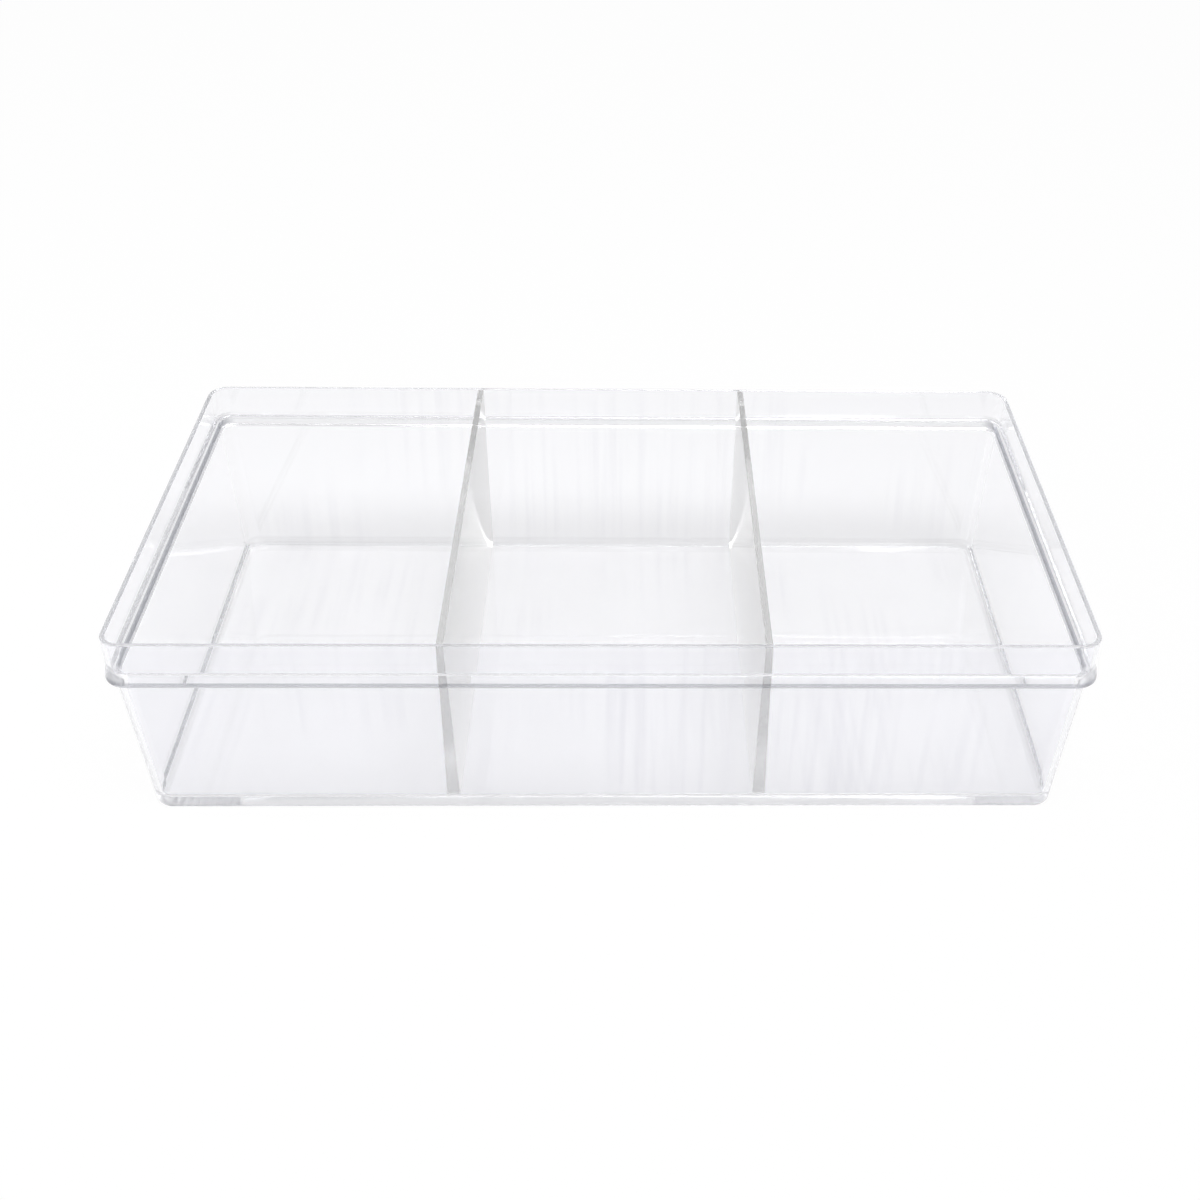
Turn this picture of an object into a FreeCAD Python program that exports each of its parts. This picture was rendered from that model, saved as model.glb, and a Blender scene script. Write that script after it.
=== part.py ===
import FreeCAD, Part
import math
import os

# Clear moulded storage tray, open at the top, with two lift-out dividers.
# The tray stands on the plane z = 0, centred on the Z axis, its front towards -Y.
# All sizes are in millimetres and degrees.

# Overall size, measured outside the collar
RIM_LENGTH = 350.0
RIM_DEPTH = 190.0
HEIGHT = 80.0

# Walls
COLLAR_WALL = 1.7
BODY_WALL = 2.3
FLOOR_THICKNESS = 3.5
BODY_DRAFT = 3.6

# Stepped collar: its depth inside, and the ring that joins it to the body
COLLAR_DEPTH = 13.7
STEP_THICKNESS = 4.3
STEP_INSET = 1.9

# Bead round the outside of the step: an upright lip, and a flare from it up to the collar
BEAD_PROUD = 0.9
LIP_HEIGHT = 2.0
FLARE_HEIGHT = 4.0

# Corners in plan
RIM_CORNER_RADIUS = 8.0
BODY_CORNER_RADIUS = 7.5

# Rounded edges
RIM_EDGE_RADIUS = 0.7
BEAD_EDGE_RADIUS = 0.7
STEP_FILLET = 1.0
LEDGE_EDGE_RADIUS = 1.6
LEDGE_FILLET = 0.2
BASE_EDGE_RADIUS = 1.5
FLOOR_FILLET = 3.2

# Dividers
DIVIDER_SPACING = 114.4
DIVIDER_TOP_THICKNESS = 2.5
DIVIDER_FOOT_THICKNESS = 4.8
DIVIDER_EDGE_RADIUS = 0.5
DIVIDER_CLEARANCE = 0.3

# A fillet takes at most this share of the thickness that it rounds
FILLET_SHARE = 0.45
# Edges and points closer than this are the same
TOLERANCE = 1e-4

# Levels and insets that follow from the sizes above
LEDGE_LEVEL = HEIGHT - COLLAR_DEPTH
STEP_LEVEL = LEDGE_LEVEL - STEP_THICKNESS
DRAFT_SLOPE = math.tan(math.radians(BODY_DRAFT))
LEVEL_WALL = BODY_WALL / math.cos(math.radians(BODY_DRAFT))


def body_inset(level):
    """Distance from the rim's outline in to the body's outer face at a level."""
    return STEP_INSET + (STEP_LEVEL - level) * DRAFT_SLOPE


def block(low, high, low_inset, high_inset, corner):
    """Block between two levels, set in from the rim's outline at each, with rounded upright corners."""
    rings = []
    for level, inset in ((low, low_inset), (high, high_inset)):
        x = RIM_LENGTH / 2 - inset
        y = RIM_DEPTH / 2 - inset
        rings.append([FreeCAD.Vector(*point, level) for point in ((-x, -y), (x, -y), (x, y), (-x, y))])
    lower, upper = rings
    loops = [lower[::-1], upper]
    for index in range(len(lower)):
        after = (index + 1) % len(lower)
        loops.append([lower[index], lower[after], upper[after], upper[index]])
    faces = [Part.Face(Part.makePolygon(loop + loop[:1])) for loop in loops]
    solid = Part.Solid(Part.Shell(faces))
    uprights = [edge for edge in solid.Edges if edge.BoundBox.ZLength > TOLERANCE]
    return solid.makeFillet(corner, uprights)


def level_edges(shape, level, inset=None):
    """Edges that lie in a level plane, inside the outline at an inset where one is given."""
    x = y = float("inf")
    if inset is not None:
        x = RIM_LENGTH / 2 - inset + TOLERANCE
        y = RIM_DEPTH / 2 - inset + TOLERANCE
    found = []
    for edge in shape.Edges:
        box = edge.BoundBox
        flat = abs(box.ZMin - level) < TOLERANCE and abs(box.ZMax - level) < TOLERANCE
        if flat and max(-box.XMin, box.XMax) < x and max(-box.YMin, box.YMax) < y:
            found.append(edge)
    return found


def cavity(gap=0.0):
    """Space inside the tray, drawn in from its walls and ledge by a gap, but not from its floor."""
    ledge = LEDGE_LEVEL + gap
    floor_inset, mouth_inset = (body_inset(level) + LEVEL_WALL + gap for level in (FLOOR_THICKNESS, ledge))
    lower = block(FLOOR_THICKNESS, ledge, floor_inset, mouth_inset, BODY_CORNER_RADIUS - BODY_WALL)
    lower = lower.makeFillet(FLOOR_FILLET + gap, level_edges(lower, FLOOR_THICKNESS))
    collar_inset = COLLAR_WALL + gap
    upper = block(ledge, HEIGHT, collar_inset, collar_inset, RIM_CORNER_RADIUS - COLLAR_WALL)
    upper = upper.makeFillet(LEDGE_FILLET + gap, level_edges(upper, ledge))
    space = lower.fuse(upper).removeSplitter()
    return space.makeFillet(LEDGE_EDGE_RADIUS, level_edges(space, ledge, mouth_inset))


def tray_shell():
    """Tray moulded in one piece: drafted body, bead and stepped collar round one hollow."""
    body = block(0, STEP_LEVEL, body_inset(0), STEP_INSET, BODY_CORNER_RADIUS)
    body = body.makeFillet(BASE_EDGE_RADIUS, level_edges(body, 0))

    collar = block(STEP_LEVEL, HEIGHT, 0, 0, RIM_CORNER_RADIUS)
    bead_corner = RIM_CORNER_RADIUS + BEAD_PROUD
    lip_top = STEP_LEVEL + LIP_HEIGHT
    lip = block(STEP_LEVEL, lip_top, -BEAD_PROUD, -BEAD_PROUD, bead_corner)
    lip = lip.makeFillet(min(BEAD_EDGE_RADIUS, LIP_HEIGHT * FILLET_SHARE), level_edges(lip, STEP_LEVEL))
    # The flare runs on into the collar's wall, so that the two meet along a clean line
    buried = COLLAR_WALL / 2
    flare_top = lip_top + FLARE_HEIGHT * (BEAD_PROUD + buried) / BEAD_PROUD
    flare = block(lip_top, flare_top, -BEAD_PROUD, buried, bead_corner)

    moulding = body.fuse([collar, lip, flare]).removeSplitter()
    moulding = moulding.makeFillet(STEP_FILLET, level_edges(moulding, STEP_LEVEL, STEP_INSET))
    shell = moulding.cut(cavity())
    rim_round = min(RIM_EDGE_RADIUS, COLLAR_WALL * FILLET_SHARE)
    return shell.makeFillet(rim_round, level_edges(shell, HEIGHT))


def divider(centre_x):
    """Tapered plate across the tray, standing on its floor, with its top level with the rim."""
    foot = DIVIDER_FOOT_THICKNESS / 2
    top = DIVIDER_TOP_THICKNESS / 2
    half_depth = RIM_DEPTH / 2
    section = [(-foot, FLOOR_THICKNESS), (foot, FLOOR_THICKNESS), (top, HEIGHT), (-top, HEIGHT)]
    points = [FreeCAD.Vector(centre_x + x, -half_depth, z) for x, z in section]
    wedge = Part.Face(Part.makePolygon(points + points[:1])).extrude(FreeCAD.Vector(0, RIM_DEPTH, 0))
    plate = wedge.common(cavity(DIVIDER_CLEARANCE))
    long_edges = [edge for edge in level_edges(plate, HEIGHT) if edge.BoundBox.YLength > half_depth]
    edge_round = min(DIVIDER_EDGE_RADIUS, DIVIDER_TOP_THICKNESS * FILLET_SHARE)
    return plate.makeFillet(edge_round, long_edges)


PARTS = {
    "tray": tray_shell(),
    "left_divider": divider(-DIVIDER_SPACING / 2),
    "right_divider": divider(DIVIDER_SPACING / 2),
}

os.makedirs("parts", exist_ok=True)
for name, shape in PARTS.items():
    solid = shape.Solids[0]
    box = solid.BoundBox
    print(name, "solids", len(shape.Solids), "valid", shape.isValid(), "volume", round(shape.Volume, 1))
    print("  x", round(box.XMin, 2), round(box.XMax, 2), "y", round(box.YMin, 2), round(box.YMax, 2),
          "z", round(box.ZMin, 2), round(box.ZMax, 2))
    solid.exportStep(f"parts/{name}.step")
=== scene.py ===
import logging
import math
from dataclasses import dataclass
from enum import Enum
from typing import Callable

import bmesh
import bpy
from mathutils import Euler, Matrix, Vector


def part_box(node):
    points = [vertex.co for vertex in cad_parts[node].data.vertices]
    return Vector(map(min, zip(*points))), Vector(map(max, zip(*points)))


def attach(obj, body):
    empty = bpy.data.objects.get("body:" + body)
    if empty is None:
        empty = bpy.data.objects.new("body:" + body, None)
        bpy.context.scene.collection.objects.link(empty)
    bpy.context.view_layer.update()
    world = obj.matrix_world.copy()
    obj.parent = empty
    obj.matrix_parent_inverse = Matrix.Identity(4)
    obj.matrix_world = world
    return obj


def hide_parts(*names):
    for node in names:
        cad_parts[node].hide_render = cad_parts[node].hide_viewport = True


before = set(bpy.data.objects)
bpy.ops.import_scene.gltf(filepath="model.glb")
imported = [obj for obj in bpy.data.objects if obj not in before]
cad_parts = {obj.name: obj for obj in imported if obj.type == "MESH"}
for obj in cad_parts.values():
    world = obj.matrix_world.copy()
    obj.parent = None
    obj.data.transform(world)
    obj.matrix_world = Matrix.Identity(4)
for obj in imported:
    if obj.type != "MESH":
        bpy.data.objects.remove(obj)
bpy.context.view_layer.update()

Span = tuple[float, float]
Colour = tuple[float, float, float]

# Clear moulded storage tray with two lift-out dividers, on a pale studio floor.
# Everything is in metres and degrees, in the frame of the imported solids: the front looks towards -Y.

LOG = logging.getLogger("storage_box")

UNIT_PLANE = 2.0
CORNER_SEGMENTS = 20
ROUND_SEGMENTS = 8
RING_SPACING = 0.05
RING_WEIGHT = 0.5
QUAD_CORNERS = 4
FLAT_FACE_WEIGHT = 100
SMOOTH_ANGLE = math.radians(40.0)
SAME_PLACE = 2e-5
# Face attribute of painted shade: how far the colour is darkened along narrow edges, in place of the
# dark lines that refraction draws there.
PAINTED_EDGE_SHADE = "edge_tone"


class Side(Enum):
    """Which of the two dividers a plate is, by the sign of its place along X."""

    LEFT = -1
    RIGHT = 1


def deselect_objects() -> None:
    """Leave edit mode and deselect every object."""
    if bpy.context.object is not None and bpy.context.object.mode != "OBJECT":
        bpy.ops.object.mode_set(mode="OBJECT")
    bpy.ops.object.select_all(action="DESELECT")


def select_edges(piece: bpy.types.Object, chosen: Callable[[Vector, Vector], bool]) -> None:
    """Select the edges of a piece in edit mode by the places of their ends.

    Args:
        piece: Mesh object in edit mode.
        chosen: Test on an edge's two ends that says whether it is taken.
    """
    bpy.ops.mesh.select_mode(type="EDGE")
    bpy.ops.mesh.select_all(action="DESELECT")
    mesh = bmesh.from_edit_mesh(piece.data)
    for edge in mesh.edges:
        start, end = (corner.co for corner in edge.verts)
        edge.select_set(chosen(start, end))
    bmesh.update_edit_mesh(piece.data)


def link(tree: bpy.types.NodeTree, source: bpy.types.NodeSocket, target: bpy.types.NodeSocket) -> None:
    """Join an output socket to an input socket."""
    tree.links.new(source, target)


def add_node(tree: bpy.types.NodeTree, kind: str, **settings: object) -> bpy.types.Node:
    """Add a node to a tree and set its properties.

    Args:
        tree: Node tree that gets the node.
        kind: Blender's name for the kind of node.
        settings: Properties of the node by name.

    Returns:
        The new node.
    """
    node = tree.nodes.new(kind)
    for name, value in settings.items():
        setattr(node, name, value)
    return node


def combine(tree: bpy.types.NodeTree, operation: str,
            *terms: bpy.types.NodeSocket | float) -> bpy.types.NodeSocket:
    """Add a math node.

    Args:
        tree: Node tree that gets the node.
        operation: Blender's name for the operation.
        terms: Sockets or numbers that it works on.

    Returns:
        Socket of the result.
    """
    node = add_node(tree, "ShaderNodeMath", operation=operation)
    for entry, term in zip(node.inputs, terms):
        if isinstance(term, bpy.types.NodeSocket):
            link(tree, term, entry)
        else:
            entry.default_value = term
    return node.outputs["Value"]


def remap(tree: bpy.types.NodeTree, value: bpy.types.NodeSocket, source: Span = (0.0, 1.0),
          target: Span = (0.0, 1.0), curve: str = "LINEAR") -> bpy.types.NodeSocket:
    """Add a node that carries a value from one range over to another.

    Args:
        tree: Node tree that gets the node.
        value: Socket of the value.
        source: Range that is read.
        target: Range that is given.
        curve: Blender's name for the way between them.

    Returns:
        Socket of the new value.
    """
    node = add_node(tree, "ShaderNodeMapRange", interpolation_type=curve)
    for entry, number in zip(("From Min", "From Max", "To Min", "To Max"), (*source, *target)):
        node.inputs[entry].default_value = number
    link(tree, value, node.inputs["Value"])
    return node.outputs["Result"]


def new_group(name: str, inputs: dict[str, tuple[str, object]],
              outputs: dict[str, str]) -> bpy.types.NodeTree:
    """Start a shader node group with named sockets.

    Args:
        name: Name of the group.
        inputs: Kind and default value of each input by name.
        outputs: Kind of each output by name.

    Returns:
        The group, with its Group Input and Group Output nodes in place.
    """
    group = bpy.data.node_groups.new(name, "ShaderNodeTree")
    for socket_name, (kind, default) in inputs.items():
        socket = group.interface.new_socket(socket_name, in_out="INPUT", socket_type=kind)
        if default is not None:
            socket.default_value = default
    for socket_name, kind in outputs.items():
        group.interface.new_socket(socket_name, in_out="OUTPUT", socket_type=kind)
    group.nodes.new("NodeGroupInput")
    group.nodes.new("NodeGroupOutput")
    return group


def group_ends(group: bpy.types.NodeTree) -> tuple[bpy.types.Node, bpy.types.Node]:
    """Give a group's input and output nodes."""
    return group.nodes["Group Input"], group.nodes["Group Output"]


class MouldingMarks:
    """Marks of moulding and handling in clear plastic, as node groups that its finishes share."""

    FLOW = "flow_lines"
    FLOW_DETAIL = 3.0
    FLOW_BREAKUP = 0.55
    FLOW_SPAN = (0.42, 0.72)
    FLOW_PATCH_SPAN = (0.40, 0.65)
    SCUFFS = "handling_scuffs"
    SCUFF_DETAIL = 4.0
    SCUFF_SPAN = (0.45, 0.80)
    SPECK_SPAN = (0.25, 0.05)

    @classmethod
    def flow_lines(cls) -> bpy.types.NodeTree:
        """Give the group of faint flow lines, drawn out along Y and Z, that come and go in patches.

        Returns:
            Group with a Lines mask and a Height for a bump.
        """
        if cls.FLOW in bpy.data.node_groups:
            return bpy.data.node_groups[cls.FLOW]
        group = new_group(
            cls.FLOW,
            {"Vector": ("NodeSocketVector", None), "Density": ("NodeSocketFloat", 120.0),
             "Stretch": ("NodeSocketFloat", 0.03), "Patch Scale": ("NodeSocketFloat", 14.0)},
            {"Lines": "NodeSocketFloat", "Height": "NodeSocketFloat"},
        )
        start, end = group_ends(group)
        squeeze = add_node(group, "ShaderNodeCombineXYZ")
        squeeze.inputs["X"].default_value = 1.0
        link(group, start.outputs["Stretch"], squeeze.inputs["Y"])
        link(group, start.outputs["Stretch"], squeeze.inputs["Z"])
        drawn = add_node(group, "ShaderNodeVectorMath", operation="MULTIPLY")
        link(group, start.outputs["Vector"], drawn.inputs[0])
        link(group, squeeze.outputs["Vector"], drawn.inputs[1])
        noise = add_node(group, "ShaderNodeTexNoise")
        noise.inputs["Detail"].default_value = cls.FLOW_DETAIL
        noise.inputs["Roughness"].default_value = cls.FLOW_BREAKUP
        link(group, drawn.outputs["Vector"], noise.inputs["Vector"])
        link(group, start.outputs["Density"], noise.inputs["Scale"])
        sharp = remap(group, noise.outputs["Fac"], cls.FLOW_SPAN, curve="SMOOTHSTEP")
        patches = add_node(group, "ShaderNodeTexNoise")
        link(group, start.outputs["Vector"], patches.inputs["Vector"])
        link(group, start.outputs["Patch Scale"], patches.inputs["Scale"])
        fade = remap(group, patches.outputs["Fac"], cls.FLOW_PATCH_SPAN, curve="SMOOTHSTEP")
        link(group, combine(group, "MULTIPLY", sharp, fade), end.inputs["Lines"])
        link(group, noise.outputs["Fac"], end.inputs["Height"])
        return group

    @classmethod
    def handling_scuffs(cls) -> bpy.types.NodeTree:
        """Give the group of fine scuffs and wipe marks that dull a gloss a little.

        Returns:
            Group with a Scuffs mask.
        """
        if cls.SCUFFS in bpy.data.node_groups:
            return bpy.data.node_groups[cls.SCUFFS]
        group = new_group(
            cls.SCUFFS,
            {"Vector": ("NodeSocketVector", None), "Patch Scale": ("NodeSocketFloat", 22.0),
             "Speck Scale": ("NodeSocketFloat", 420.0)},
            {"Scuffs": "NodeSocketFloat"},
        )
        start, end = group_ends(group)
        patches = add_node(group, "ShaderNodeTexNoise")
        patches.inputs["Detail"].default_value = cls.SCUFF_DETAIL
        specks = add_node(group, "ShaderNodeTexVoronoi", feature="F1")
        link(group, start.outputs["Vector"], patches.inputs["Vector"])
        link(group, start.outputs["Patch Scale"], patches.inputs["Scale"])
        link(group, start.outputs["Vector"], specks.inputs["Vector"])
        link(group, start.outputs["Speck Scale"], specks.inputs["Scale"])
        worn = remap(group, patches.outputs["Fac"], cls.SCUFF_SPAN, curve="SMOOTHSTEP")
        dots = remap(group, specks.outputs["Distance"], cls.SPECK_SPAN, curve="SMOOTHSTEP")
        link(group, combine(group, "MAXIMUM", worn, dots), end.inputs["Scuffs"])
        return group


@dataclass(frozen=True)
class ClearAcrylic:
    """Glossy see-through plastic, faintly tinted and greyer in its depth, with painted shade that
    darkens it along narrow edges.
    """

    name: str
    face_tint: Colour
    line_tint: Colour
    depth_tint: Colour
    depth_density: float
    # Dark grey that the colour is mixed towards where shade is painted along narrow edges.
    painted_shade_colour: Colour
    gloss_roughness: float = 0.02
    scuffed_roughness: float = 0.03
    edge_roughness: float = 0.25
    # Painted shade at which an edge is frosted to its full roughness.
    shade_for_full_frost: float = 0.2
    refraction: float = 1.49
    line_density: float = 240.0
    ripple_strength: float = 0.001
    ripple_depth: float = 0.0004

    def material(self) -> bpy.types.Material:
        """Build the finish.

        Returns:
            Material with marks from Object coordinates and painted edge shade from the piece's
            attribute.
        """
        if self.name in bpy.data.materials:
            return bpy.data.materials[self.name]
        material = bpy.data.materials.new(self.name)
        material.use_nodes = True
        tree = material.node_tree
        tree.nodes.clear()
        output = add_node(tree, "ShaderNodeOutputMaterial")
        shader = add_node(tree, "ShaderNodeBsdfPrincipled")
        shader.inputs["Transmission Weight"].default_value = 1.0
        shader.inputs["IOR"].default_value = self.refraction
        link(tree, shader.outputs["BSDF"], output.inputs["Surface"])
        place = add_node(tree, "ShaderNodeTexCoord")

        flow = add_node(tree, "ShaderNodeGroup", node_tree=MouldingMarks.flow_lines())
        flow.inputs["Density"].default_value = self.line_density
        link(tree, place.outputs["Object"], flow.inputs["Vector"])
        tint = add_node(tree, "ShaderNodeMix", data_type="RGBA")
        tint.inputs["A"].default_value = (*self.face_tint, 1.0)
        tint.inputs["B"].default_value = (*self.line_tint, 1.0)
        link(tree, flow.outputs["Lines"], tint.inputs["Factor"])
        # Painted shade: the edge attribute mixes the colour towards a dark grey along narrow edges, and
        # also frosts them.
        painted_shade = add_node(tree, "ShaderNodeAttribute", attribute_name=PAINTED_EDGE_SHADE)
        edge = add_node(tree, "ShaderNodeMix", data_type="RGBA")
        edge.inputs["B"].default_value = (*self.painted_shade_colour, 1.0)
        link(tree, painted_shade.outputs["Fac"], edge.inputs["Factor"])
        link(tree, tint.outputs["Result"], edge.inputs["A"])
        link(tree, edge.outputs["Result"], shader.inputs["Base Color"])
        ripple = add_node(tree, "ShaderNodeBump")
        ripple.inputs["Strength"].default_value = self.ripple_strength
        ripple.inputs["Distance"].default_value = self.ripple_depth
        link(tree, flow.outputs["Height"], ripple.inputs["Height"])
        link(tree, ripple.outputs["Normal"], shader.inputs["Normal"])

        scuffs = add_node(tree, "ShaderNodeGroup", node_tree=MouldingMarks.handling_scuffs())
        link(tree, place.outputs["Object"], scuffs.inputs["Vector"])
        gloss = (self.gloss_roughness, self.scuffed_roughness)
        frost = add_node(tree, "ShaderNodeMix")
        frost.inputs["B"].default_value = self.edge_roughness
        link(tree, remap(tree, painted_shade.outputs["Fac"], (0.0, self.shade_for_full_frost)), frost.inputs["Factor"])
        link(tree, remap(tree, scuffs.outputs["Scuffs"], target=gloss), frost.inputs["A"])
        link(tree, frost.outputs["Result"], shader.inputs["Roughness"])

        depth = add_node(tree, "ShaderNodeVolumeAbsorption")
        depth.inputs["Color"].default_value = (*self.depth_tint, 1.0)
        depth.inputs["Density"].default_value = self.depth_density
        link(tree, depth.outputs["Volume"], output.inputs["Volume"])
        return material


# In each finish the edge colour is the grey of the painted shade along narrow edges.
TRAY_ACRYLIC = ClearAcrylic(
    name="tray_clear_acrylic",
    face_tint=(0.975, 0.975, 0.993),
    line_tint=(0.943, 0.942, 0.966),
    depth_tint=(0.16, 0.18, 0.26),
    depth_density=0.6,
    painted_shade_colour=(0.30, 0.31, 0.35),
)
DIVIDER_ACRYLIC = ClearAcrylic(
    name="divider_clear_acrylic",
    face_tint=(0.900, 0.900, 0.893),
    line_tint=(0.880, 0.880, 0.873),
    depth_tint=(0.12, 0.12, 0.10),
    depth_density=0.6,
    painted_shade_colour=(0.45, 0.45, 0.44),
    line_density=60.0,
    gloss_roughness=0.07,
    scuffed_roughness=0.10,
)


@dataclass(frozen=True)
class PaintedShade:
    """Painted shade along a narrow edge, set apart for the front, back and ends, with what its corners
    add.
    """

    front: float = 0.0
    back: float = 0.0
    ends: float = 0.0
    corners: float = 0.0

    def value(self, front_side: bool, end_share: float) -> float:
        """Give the painted shade at a place on the edge.

        Args:
            front_side: Whether the place is on the front half.
            end_share: How far it is on an end wall, from 0 on a long wall to 1.

        Returns:
            Painted shade from 0 to 1.
        """
        long_wall = self.front if front_side else self.back
        corner_share = 1.0 - (2.0 * end_share - 1.0) ** 2
        return long_wall * (1.0 - end_share) + self.ends * end_share + self.corners * corner_share


@dataclass(frozen=True)
class Ring:
    """One corner of a moulding's section carried round it: a rounded rectangle in a level plane."""

    half_length: float
    half_depth: float
    level: float
    corner: float
    edge_round: float = 0.0
    # Painted shade along the ring's round, and along the run to the next ring.
    edge_tone: PaintedShade = PaintedShade()
    painted_run_shade: PaintedShade = PaintedShade()

    def end_share(self, place: Vector) -> float:
        """Say how far a place on the ring is on an end wall, from 0 on a long wall to 1."""
        lead = (self.half_depth - abs(place.y)) - (self.half_length - abs(place.x))
        return min(max(0.5 + lead / (2.0 * self.corner), 0.0), 1.0)


class Moulding:
    """Closed moulding made from rings that are bridged in turn, capped at both ends and rounded."""

    def __init__(self, name: str, rings: list[Ring]) -> None:
        """Keep the name and the rings of a moulding.

        Args:
            name: Name of the piece.
            rings: Rings in order along the section, from one cap to the other.
        """
        self.name = name
        self.rings = rings

    def build(self) -> bpy.types.Object:
        """Model the moulding.

        Returns:
            Mesh object at the origin with its place in its mesh.
        """
        deselect_objects()
        bpy.ops.mesh.primitive_plane_add(size=UNIT_PLANE)
        piece = bpy.context.object
        piece.name = piece.data.name = self.name
        bpy.ops.object.mode_set(mode="EDIT")
        bpy.ops.mesh.delete(type="VERT")
        for number, ring in enumerate(self.rings):
            self.add_ring(piece, ring, number)
        for number in range(len(self.rings) - 1):
            self.select_rings(piece, number, number + 1)
            bpy.ops.mesh.bridge_edge_loops()
        for number, ring in enumerate(self.rings):
            self.select_rings(piece, number)
            bpy.ops.transform.translate(value=(0.0, 0.0, ring.level - number * RING_SPACING))
        for number in (0, len(self.rings) - 1):
            self.select_rings(piece, number)
            bpy.ops.mesh.edge_face_add()
        bpy.ops.mesh.select_all(action="SELECT")
        bpy.ops.mesh.normals_make_consistent(inside=False)
        self.round_rings(piece)
        self.paint_edge_shades(piece)
        piece.vertex_groups.clear()
        return piece

    def add_ring(self, piece: bpy.types.Object, ring: Ring, number: int) -> None:
        """Add a ring to the piece in edit mode and keep it in a vertex group of its own.

        The rings are stacked well apart, so that each is bridged to the next without a twist.

        Args:
            piece: Mesh object in edit mode.
            ring: Ring to add.
            number: Its place in the section.
        """
        bpy.ops.mesh.select_mode(type="VERT")
        bpy.ops.mesh.select_all(action="DESELECT")
        centre = (0.0, 0.0, number * RING_SPACING)
        bpy.ops.mesh.primitive_plane_add(size=UNIT_PLANE, location=centre)
        bpy.ops.transform.resize(value=(ring.half_length, ring.half_depth, 1.0), center_override=centre)
        bpy.ops.mesh.bevel(affect="VERTICES", offset=ring.corner, segments=CORNER_SEGMENTS)
        group = piece.vertex_groups.new(name=f"ring_{number}")
        piece.vertex_groups.active_index = group.index
        bpy.ops.object.vertex_group_assign()
        bpy.ops.mesh.delete(type="ONLY_FACE")

    def select_rings(self, piece: bpy.types.Object, *numbers: int) -> None:
        """Select rings of a piece by their numbers.

        Args:
            piece: Mesh object in edit mode.
            numbers: Places of the rings in the section.
        """
        bpy.ops.mesh.select_mode(type="VERT")
        bpy.ops.mesh.select_all(action="DESELECT")
        for number in numbers:
            piece.vertex_groups.active_index = piece.vertex_groups[f"ring_{number}"].index
            bpy.ops.object.vertex_group_select()

    def turn(self, number: int) -> float:
        """Work out the angle by which the section turns at a ring.

        Args:
            number: Place of the ring in the section.

        Returns:
            Angle in radians, at an end between the cap and the first stretch.
        """
        points = [Vector((ring.half_depth, ring.level)) for ring in self.rings]
        points.insert(0, Vector((0.0, points[0].y)))
        points.append(Vector((0.0, points[-1].y)))
        before, here, after = points[number:number + 3]
        return (here - before).angle(after - here)

    def round_rings(self, piece: bpy.types.Object) -> None:
        """Round the section along every ring to an arc of the ring's radius.

        Args:
            piece: Mesh object in edit mode, left in object mode.
        """
        reaches = [
            ring.edge_round * math.tan(self.turn(number) / 2.0)
            for number, ring in enumerate(self.rings)]
        longest = max(reaches)
        for number, reach in enumerate(reaches):
            self.select_rings(piece, number)
            bpy.ops.mesh.select_mode(type="EDGE")
            bpy.ops.transform.edge_bevelweight(value=reach / longest)
        bpy.ops.object.mode_set(mode="OBJECT")
        rounding = piece.modifiers.new("rounding", "BEVEL")
        rounding.limit_method = "WEIGHT"
        rounding.width = longest
        rounding.segments = ROUND_SEGMENTS
        rounding.use_clamp_overlap = False
        bpy.ops.object.modifier_apply(modifier=rounding.name)

    def paint_edge_shades(self, piece: bpy.types.Object) -> None:
        """Paint shade on each face along its rounded edge or narrow run, as an attribute that darkens
        the colour there.

        Args:
            piece: Mesh object in object mode that still has the rings' vertex groups.
        """
        mesh = piece.data
        owners = [
            {share.group for share in vertex.groups if share.weight > RING_WEIGHT}
            for vertex in mesh.vertices]
        painted_shades = mesh.attributes.new(PAINTED_EDGE_SHADE, "FLOAT", "FACE")
        for face in mesh.polygons:
            if len(face.vertices) > QUAD_CORNERS:
                continue
            around = [owners[index] for index in face.vertices]
            ring = self.rings[min(set.union(*around))]
            painted_shade = ring.edge_tone if set.intersection(*around) else ring.painted_run_shade
            painted_shades.data[face.index].value = painted_shade.value(face.center.y < 0.0, ring.end_share(face.center))


def finish_surface(piece: bpy.types.Object) -> None:
    """Shade a piece smooth, with flat faces kept flat between its rounded edges.

    Args:
        piece: Mesh object in object mode.
    """
    deselect_objects()
    piece.select_set(True)
    bpy.context.view_layer.objects.active = piece
    bpy.ops.object.shade_smooth_by_angle(angle=SMOOTH_ANGLE)
    weighted = piece.modifiers.new("flat_faces", "WEIGHTED_NORMAL")
    weighted.keep_sharp = True
    weighted.weight = FLAT_FACE_WEIGHT
    bpy.ops.object.modifier_apply(modifier=weighted.name)


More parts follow.
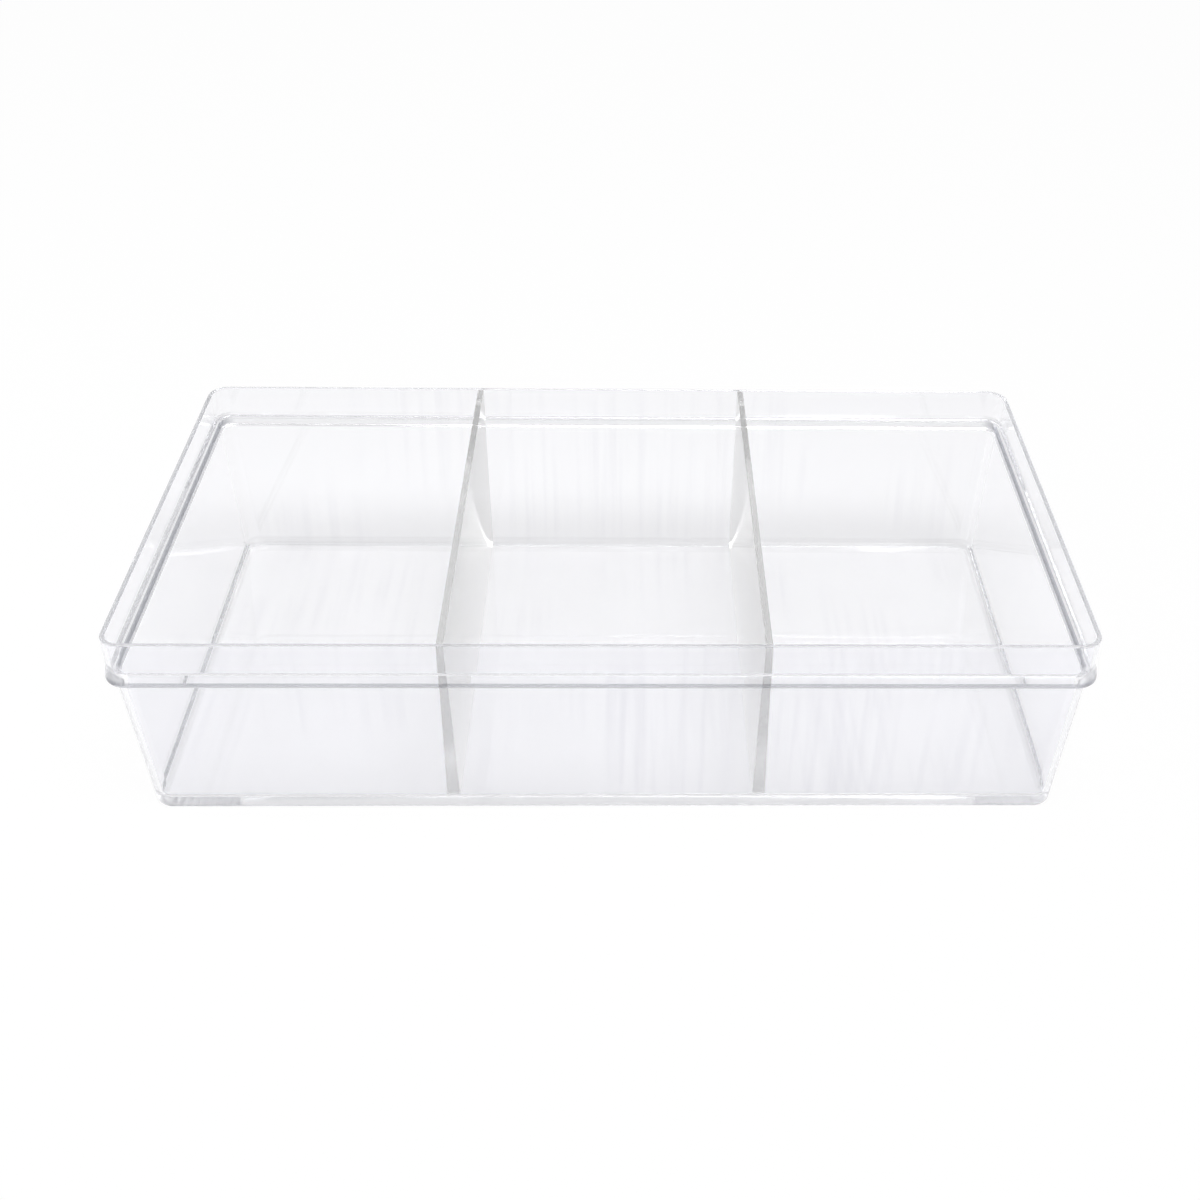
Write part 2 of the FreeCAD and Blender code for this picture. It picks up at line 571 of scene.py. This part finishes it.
@dataclass
class Tray:
    """Open tray moulded in one piece: drafted body, bead and stepped collar."""

    node: str = "tray"
    slot: str = "tray_acrylic"
    finish: ClearAcrylic = TRAY_ACRYLIC
    collar_wall: float = 0.0017
    body_wall: float = 0.0023
    floor_thickness: float = 0.0035
    draft: float = math.radians(3.6)
    collar_depth: float = 0.0137
    step_thickness: float = 0.0043
    step_inset: float = 0.0019
    bead_proud: float = 0.0009
    lip_height: float = 0.0020
    flare_height: float = 0.0040
    rim_corner: float = 0.008
    body_corner: float = 0.0075
    rim_round: float = 0.0005
    bead_round: float = 0.0007
    flare_round: float = 0.0030
    step_round: float = 0.0010
    ledge_round: float = 0.0016
    ledge_fillet: float = 0.0006
    base_round: float = 0.0015
    floor_fillet: float = 0.0032
    # Painted shade along the tray's rounded edges and narrow runs, set apart for front, back and ends;
    # it darkens the colour there, the floor fillet's where floor meets walls.
    base_painted_shade: PaintedShade = PaintedShade(front=0.35, back=0.10, ends=0.20)
    rim_painted_shade: PaintedShade = PaintedShade(front=0.12, back=0.06, ends=0.50)
    lip_painted_shade: PaintedShade = PaintedShade(front=0.80, back=0.20, ends=0.45, corners=0.38)
    flare_painted_shade: PaintedShade = PaintedShade(corners=0.30)
    ledge_painted_shade: PaintedShade = PaintedShade(front=0.0, back=0.25, ends=0.25)
    mouth_painted_shade: PaintedShade = PaintedShade(ends=1.00)
    floor_painted_shade: PaintedShade = PaintedShade(front=0.05, back=0.12, ends=0.12)

    def __post_init__(self) -> None:
        """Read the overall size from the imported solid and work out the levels."""
        low, high = (Vector(corner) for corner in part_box(self.node))
        self.half_length = (high.x - low.x) / 2.0 - self.bead_proud
        self.half_depth = (high.y - low.y) / 2.0 - self.bead_proud
        self.base_level = low.z
        self.rim_level = high.z
        self.ledge_level = self.rim_level - self.collar_depth
        self.step_level = self.ledge_level - self.step_thickness
        self.lip_level = self.step_level + self.lip_height
        self.flare_level = self.lip_level + self.flare_height
        self.floor_level = self.base_level + self.floor_thickness

    def body_inset(self, level: float) -> float:
        """Give the distance from the rim's outline in to the body's outer face at a level."""
        return self.step_inset + (self.step_level - level) * math.tan(self.draft)

    def hollow_inset(self, level: float) -> float:
        """Give the distance from the rim's outline in to the body's inner face at a level."""
        return self.body_inset(level) + self.body_wall / math.cos(self.draft)

    def ring(self, inset: float, level: float, corner: float, edge_round: float,
             edge_tone: PaintedShade = PaintedShade(), painted_run_shade: PaintedShade = PaintedShade()) -> Ring:
        """Make a ring set in from the rim's outline.

        Args:
            inset: Distance in from the outline, negative outside it.
            level: Height of the ring.
            corner: Radius of its corners in plan.
            edge_round: Radius that rounds the section there.
            edge_tone: Painted shade along that round.
            painted_run_shade: Painted shade from there to the next ring.

        Returns:
            The ring.
        """
        half_length, half_depth = self.half_length - inset, self.half_depth - inset
        return Ring(half_length, half_depth, level, corner, edge_round, edge_tone, painted_run_shade)

    def build(self) -> bpy.types.Object:
        """Model the tray, dress it and put it in place of its solid.

        Returns:
            The finished piece.
        """
        hollow_corner = self.body_corner - self.body_wall
        collar_corner = self.rim_corner - self.collar_wall
        bead_corner = self.rim_corner + self.bead_proud
        bead, collar = -self.bead_proud, self.collar_wall
        base, step, lip = self.base_level, self.step_level, self.lip_level
        rim, ledge, floor = self.rim_level, self.ledge_level, self.floor_level
        mouth, well = self.hollow_inset(ledge), self.hollow_inset(floor)
        rings = [
            self.ring(self.body_inset(base), base, self.body_corner, self.base_round, self.base_painted_shade),
            self.ring(self.step_inset, step, self.body_corner, self.step_round),
            self.ring(bead, step, bead_corner, self.bead_round, self.lip_painted_shade, self.lip_painted_shade),
            self.ring(bead, lip, bead_corner, self.flare_round, self.lip_painted_shade, self.flare_painted_shade),
            self.ring(0.0, self.flare_level, self.rim_corner, self.flare_round),
            self.ring(0.0, rim, self.rim_corner, self.rim_round, self.rim_painted_shade, self.rim_painted_shade),
            self.ring(collar, rim, collar_corner, self.rim_round, self.rim_painted_shade),
            self.ring(collar, ledge, collar_corner, self.ledge_fillet, self.ledge_painted_shade),
            self.ring(mouth, ledge, hollow_corner, self.ledge_round, self.mouth_painted_shade),
            self.ring(well, floor, hollow_corner, self.floor_fillet, self.floor_painted_shade),
        ]
        piece = Moulding("tray_moulding", rings).build()
        finish_surface(piece)
        piece.data.materials.append(self.finish.material())
        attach(piece, self.node)
        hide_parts(self.node)
        return piece


@dataclass
class Divider:
    """Tapered upright plate that stands across the tray and lifts out."""

    side: Side
    tray: Tray
    slot: str = "divider_acrylic"
    finish: ClearAcrylic = DIVIDER_ACRYLIC
    top_thickness: float = 0.0025
    foot_thickness: float = 0.0048
    top_round: float = 0.0005
    clearance: float = 0.0003
    seat_gap: float = 0.00005
    edge_break: float = 0.00025
    edge_segments: int = 2
    # Painted shade on the plate's top and on its front and back edges, which darkens the colour there.
    top_painted_shade: float = 0.20
    edge_tone: PaintedShade = PaintedShade(front=0.12, back=0.30)

    def __post_init__(self) -> None:
        """Read the plate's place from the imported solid."""
        self.node = f"{self.side.name.lower()}_divider"
        low, high = (Vector(corner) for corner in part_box(self.node))
        self.centre_x = (low.x + high.x) / 2.0
        self.foot_level = low.z + self.seat_gap
        self.top_level = high.z

    def half_thickness(self, level: float) -> float:
        """Give half of the plate's thickness at a level."""
        rise = (level - self.foot_level) / (self.top_level - self.foot_level)
        return (self.foot_thickness + (self.top_thickness - self.foot_thickness) * rise) / 2.0

    def outline(self) -> list[tuple[float, float, float]]:
        """Give the corners of the plate's outline seen along X.

        Returns:
            Half depth, level and rounding radius of each corner, from the foot up.
        """
        tray, gap = self.tray, self.clearance
        shoulder = tray.ledge_level + gap
        foot_half = tray.half_depth - tray.hollow_inset(self.foot_level) - gap
        mouth_half = tray.half_depth - tray.hollow_inset(shoulder) - gap
        collar_half = tray.half_depth - tray.collar_wall - gap
        return [
            (foot_half, self.foot_level, tray.floor_fillet + gap),
            (mouth_half, shoulder, tray.ledge_round),
            (collar_half, shoulder, tray.ledge_fillet + gap),
            (collar_half, self.top_level, 0.0),
        ]

    def build(self) -> bpy.types.Object:
        """Model the plate, dress it and put it in place of its solid.

        Returns:
            The finished piece.
        """
        corners = self.outline()
        deselect_objects()
        bpy.ops.mesh.primitive_plane_add(size=UNIT_PLANE)
        piece = bpy.context.object
        piece.name = piece.data.name = f"{self.node}_plate"
        bpy.ops.object.mode_set(mode="EDIT")
        bpy.ops.mesh.delete(type="VERT")
        for half_depth, level, _ in corners:
            self.add_level(half_depth, level)
        self.bridge_levels(piece, corners)
        bpy.ops.mesh.select_all(action="SELECT")
        bpy.ops.mesh.normals_make_consistent(inside=False)
        self.round_outline(piece, corners)
        self.round_top(piece)
        bpy.ops.object.mode_set(mode="OBJECT")
        self.break_edges(piece)
        self.paint_edge_shades(piece)
        finish_surface(piece)
        piece.data.materials.append(self.finish.material())
        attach(piece, self.node)
        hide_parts(self.node)
        return piece

    def add_level(self, half_depth: float, level: float) -> None:
        """Add the outline of the plate at a level, as a loop of four edges.

        Args:
            half_depth: Half of the plate's depth there.
            level: Height of the loop.
        """
        centre = (self.centre_x, 0.0, level)
        bpy.ops.mesh.select_all(action="DESELECT")
        bpy.ops.mesh.primitive_plane_add(size=UNIT_PLANE, location=centre)
        size = (self.half_thickness(level), half_depth, 1.0)
        bpy.ops.transform.resize(value=size, center_override=centre)
        bpy.ops.mesh.delete(type="ONLY_FACE")

    def bridge_levels(self, piece: bpy.types.Object, corners: list[tuple[float, float, float]]) -> None:
        """Join the loops in turn and close the foot and the top.

        Args:
            piece: Mesh object in edit mode that holds the loops.
            corners: Corners of the outline, from the foot up.
        """
        loops = [[(half_depth, level)] for half_depth, level, _ in corners]
        pairs = [low + high for low, high in zip(loops, loops[1:])]
        for group in pairs + [loops[0], loops[-1]]:
            select_edges(piece, lambda start, end: all(
                any(abs(abs(point.y) - half) < SAME_PLACE and abs(point.z - level) < SAME_PLACE
                    for half, level in group)
                for point in (start, end)) and abs(start.z - end.z) < SAME_PLACE)
            if len(group) > 1:
                bpy.ops.mesh.bridge_edge_loops()
            else:
                bpy.ops.mesh.edge_face_add()

    def round_outline(self, piece: bpy.types.Object, corners: list[tuple[float, float, float]]) -> None:
        """Round the corners of the plate's outline.

        Args:
            piece: Mesh object in edit mode.
            corners: Corners of the outline with their radii.
        """
        points = [Vector((half_depth, level)) for half_depth, level, _ in corners]
        points = [Vector((0.0, points[0].y)), *points]
        for number, (half_depth, level, radius) in enumerate(corners):
            if radius <= 0.0:
                continue
            before, here, after = points[number:number + 3]
            reach = radius * math.tan((here - before).angle(after - here) / 2.0)
            select_edges(piece, lambda start, end: all(
                abs(abs(point.y) - half_depth) < SAME_PLACE and abs(point.z - level) < SAME_PLACE
                for point in (start, end)) and start.y * end.y > 0.0)
            bpy.ops.mesh.bevel(
                affect="EDGES", offset_type="OFFSET", offset=reach, segments=ROUND_SEGMENTS)

    def round_top(self, piece: bpy.types.Object) -> None:
        """Round the two long edges along the top.

        Args:
            piece: Mesh object in edit mode.
        """
        select_edges(piece, lambda start, end: start.y * end.y < 0.0 and all(
            abs(point.z - self.top_level) < SAME_PLACE for point in (start, end)))
        bpy.ops.mesh.bevel(
            affect="EDGES", offset_type="OFFSET", offset=self.top_round, segments=ROUND_SEGMENTS // 2)

    def break_edges(self, piece: bpy.types.Object) -> None:
        """Break the edges that are still sharp with a narrow bevel.

        Args:
            piece: Mesh object in object mode.
        """
        deselect_objects()
        piece.select_set(True)
        bpy.context.view_layer.objects.active = piece
        bevel = piece.modifiers.new("edge_break", "BEVEL")
        bevel.width = self.edge_break
        bevel.segments = self.edge_segments
        bevel.limit_method = "ANGLE"
        bevel.angle_limit = SMOOTH_ANGLE
        bpy.ops.object.modifier_apply(modifier=bevel.name)

    def paint_edge_shades(self, piece: bpy.types.Object) -> None:
        """Paint shade on each narrow face of the plate, as an attribute that darkens the colour there.

        Args:
            piece: Mesh object in object mode.
        """
        painted_shades = piece.data.attributes.new(PAINTED_EDGE_SHADE, "FLOAT", "FACE")
        for face in piece.data.polygons:
            if abs(face.normal.y) > math.sin(SMOOTH_ANGLE):
                painted_shades.data[face.index].value = self.edge_tone.value(face.center.y < 0.0, 0.0)
            elif face.normal.z > math.sin(SMOOTH_ANGLE):
                painted_shades.data[face.index].value = self.top_painted_shade


@dataclass(frozen=True)
class Softbox:
    """Square soft lamp, turned towards the box."""

    name: str
    place: tuple[float, float, float]
    size: float
    power: float

    def build(self) -> None:
        """Hang the lamp, hidden from the rays that a glossy face throws back."""
        deselect_objects()
        bpy.ops.object.light_add(type="AREA", location=self.place)
        lamp = bpy.context.object
        lamp.name = self.name
        lamp.data.shape = "SQUARE"
        lamp.data.size = self.size
        lamp.data.energy = self.power
        lamp.visible_glossy = False
        lamp.rotation_euler = (-Vector(self.place)).to_track_quat("-Z", "Y").to_euler()


@dataclass
class Studio:
    """Pale floor, white surroundings and soft lamps."""

    light_bounces: int = 128
    floor_size: float = 12.0
    floor_drop: float = 0.0006
    floor_colour: Colour = (0.92, 0.92, 0.92)
    floor_white_direct: float = 0.97
    floor_white_through: float = 0.72
    sky_white: Span = (1.0, 0.7)
    sky_fade: Span = (0.5, 0.85)
    room_light: float = 0.20
    softboxes: tuple[Softbox, ...] = (
        Softbox("top_softbox", place=(-0.05, -0.42, 1.50), size=0.5, power=5.0),
        Softbox("side_softbox", place=(0.35, -0.35, 1.18), size=0.6, power=8.5),
        Softbox("fill_softbox", place=(-0.95, -0.15, 0.80), size=0.9, power=7.5),
    )

    def build(self) -> None:
        """Make the floor, the world and the lamps, with bounces enough for the clear walls."""
        self.make_floor()
        self.make_world()
        for softbox in self.softboxes:
            softbox.build()
        cycles = bpy.context.scene.cycles
        cycles.max_bounces = self.light_bounces
        cycles.glossy_bounces = self.light_bounces
        cycles.transmission_bounces = self.light_bounces

    def seen_rays(self, tree: bpy.types.NodeTree) -> tuple[bpy.types.NodeSocket, bpy.types.NodeSocket]:
        """Add nodes that tell the rays that show the surroundings from those that light them.

        Args:
            tree: Node tree of the floor or the world.

        Returns:
            Socket that is 1 for camera rays, and one that is 1 for glossy and transmission rays.
        """
        rays = add_node(tree, "ShaderNodeLightPath").outputs
        bent = combine(tree, "MAXIMUM", rays["Is Glossy Ray"], rays["Is Transmission Ray"])
        return rays["Is Camera Ray"], bent

    def make_floor(self) -> None:
        """Make the floor, white to the camera but for the shadow on it."""
        deselect_objects()
        bpy.ops.mesh.primitive_plane_add(size=self.floor_size, location=(0.0, 0.0, -self.floor_drop))
        floor = bpy.context.object
        floor.name = "studio_floor"
        bpy.ops.object.transform_apply(location=True)
        material = bpy.data.materials.new("pale_floor")
        material.use_nodes = True
        tree = material.node_tree
        tree.nodes.clear()
        output = add_node(tree, "ShaderNodeOutputMaterial")
        paper = add_node(tree, "ShaderNodeBsdfDiffuse")
        paper.inputs["Color"].default_value = (*self.floor_colour, 1.0)
        white = add_node(tree, "ShaderNodeEmission")
        straight, bent = self.seen_rays(tree)
        direct = combine(tree, "MULTIPLY", straight, self.floor_white_direct)
        mix = add_node(tree, "ShaderNodeMixShader")
        white_share = combine(tree, "MULTIPLY_ADD", bent, self.floor_white_through, direct)
        link(tree, white_share, mix.inputs["Fac"])
        link(tree, paper.outputs["BSDF"], mix.inputs[1])
        link(tree, white.outputs["Emission"], mix.inputs[2])
        link(tree, mix.outputs["Shader"], output.inputs["Surface"])
        floor.data.materials.append(material)

    def make_world(self) -> None:
        """Make surroundings that are white low down and greyer overhead."""
        world = bpy.data.worlds.new("studio_room")
        bpy.context.scene.world = world
        world.use_nodes = True
        tree = world.node_tree
        tree.nodes.clear()
        output = add_node(tree, "ShaderNodeOutputWorld")
        place = add_node(tree, "ShaderNodeTexCoord")
        split = add_node(tree, "ShaderNodeSeparateXYZ")
        link(tree, place.outputs["Generated"], split.inputs["Vector"])
        sky = remap(tree, split.outputs["Z"], self.sky_fade, self.sky_white, "SMOOTHSTEP")
        shown = add_node(tree, "ShaderNodeBackground")
        link(tree, sky, shown.inputs["Color"])
        light = add_node(tree, "ShaderNodeBackground")
        light.inputs["Strength"].default_value = self.room_light
        mix = add_node(tree, "ShaderNodeMixShader")
        link(tree, combine(tree, "MAXIMUM", *self.seen_rays(tree)), mix.inputs["Fac"])
        link(tree, light.outputs["Background"], mix.inputs[1])
        link(tree, shown.outputs["Background"], mix.inputs[2])
        link(tree, mix.outputs["Shader"], output.inputs["Surface"])


@dataclass
class PhotoCamera:
    """Camera at the photograph's viewing angle."""

    place: tuple[float, float, float] = (0.00821, -0.53835, 0.41292)
    pitch: float = math.radians(35.214)
    yaw: float = math.radians(2.101)
    roll: float = math.radians(1.352)
    focal_length: float = 48.07
    sensor: float = 36.0
    frame_shift: float = -0.0640

    def build(self) -> bpy.types.Object:
        """Make the camera and look through it.

        Returns:
            The camera.
        """
        deselect_objects()
        bpy.ops.object.camera_add(location=self.place)
        camera = bpy.context.object
        camera.name = "photo_camera"
        camera.data.lens = self.focal_length
        camera.data.sensor_width = self.sensor
        camera.data.shift_x = self.frame_shift
        level_turn = Euler((math.pi / 2.0 - self.pitch, 0.0, -self.yaw)).to_matrix()
        camera.rotation_euler = (level_turn @ Matrix.Rotation(self.roll, 3, "Z")).to_euler()
        bpy.context.scene.camera = camera
        return camera


def main() -> None:
    """Build the box, the studio and the camera."""
    logging.basicConfig(level=logging.INFO, format="%(name)s: %(message)s")
    bpy.context.scene.view_settings.view_transform = "Standard"
    tray = Tray()
    pieces = [tray.build()]
    for side in Side:
        pieces.append(Divider(side, tray).build())
    for piece in pieces:
        LOG.info("%s: %d faces", piece.name, len(piece.data.polygons))
    Studio().build()
    PhotoCamera().build()


if __name__ == "__main__":
    main()
